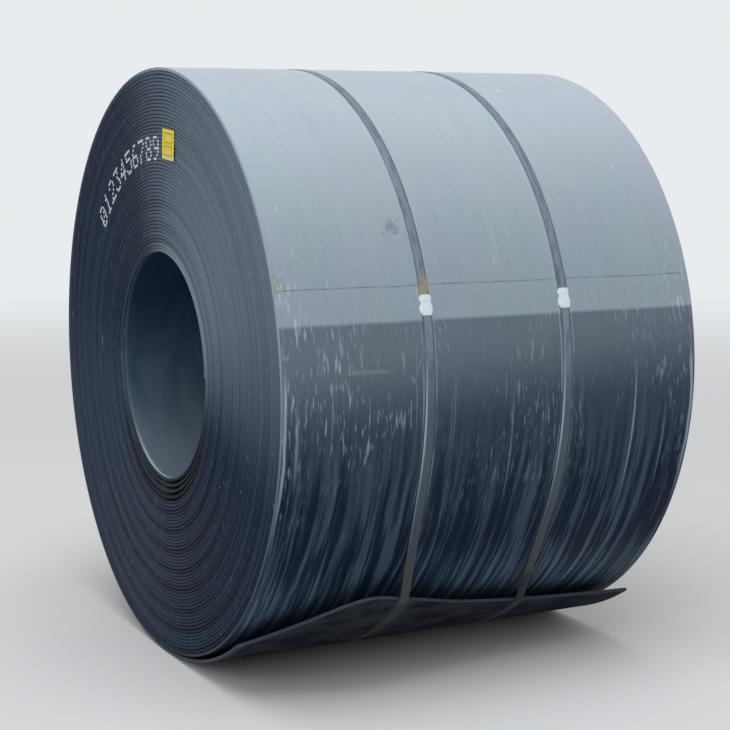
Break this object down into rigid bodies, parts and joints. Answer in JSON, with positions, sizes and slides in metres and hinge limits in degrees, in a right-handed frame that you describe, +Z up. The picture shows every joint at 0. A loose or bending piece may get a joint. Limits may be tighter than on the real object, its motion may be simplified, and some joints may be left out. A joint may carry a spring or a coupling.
{
  "type": "steel coil",
  "caption": "Strapped coil of hot-rolled steel strip lying on its side, with an open bore, a sprung tail, crimped strap seals and an end label.",
  "frame": {"origin": "on the floor, straight under the bore axis at the middle of the strip's width", "axes": "+X along the bore axis away from the labelled end, -Y towards the front where the tail shows, +Z up"},
  "size_m": [1.5011, 2.0003, 2.0066],
  "materials": {
    "hot_rolled_steel": "dark blue-grey mill scale, wet on top",
    "strap_steel": "blued strapping steel, satin",
    "seal_steel": "bright zinc-plated",
    "label_paper": "yellow, matt"
  },
  "bodies": {
    "root": {"coil": "hot_rolled_steel", "strap_left": "strap_steel", "strap_right": "strap_steel", "seal_left": "seal_steel", "seal_right": "seal_steel", "end_label": "label_paper"}
  },
  "joints": []
}
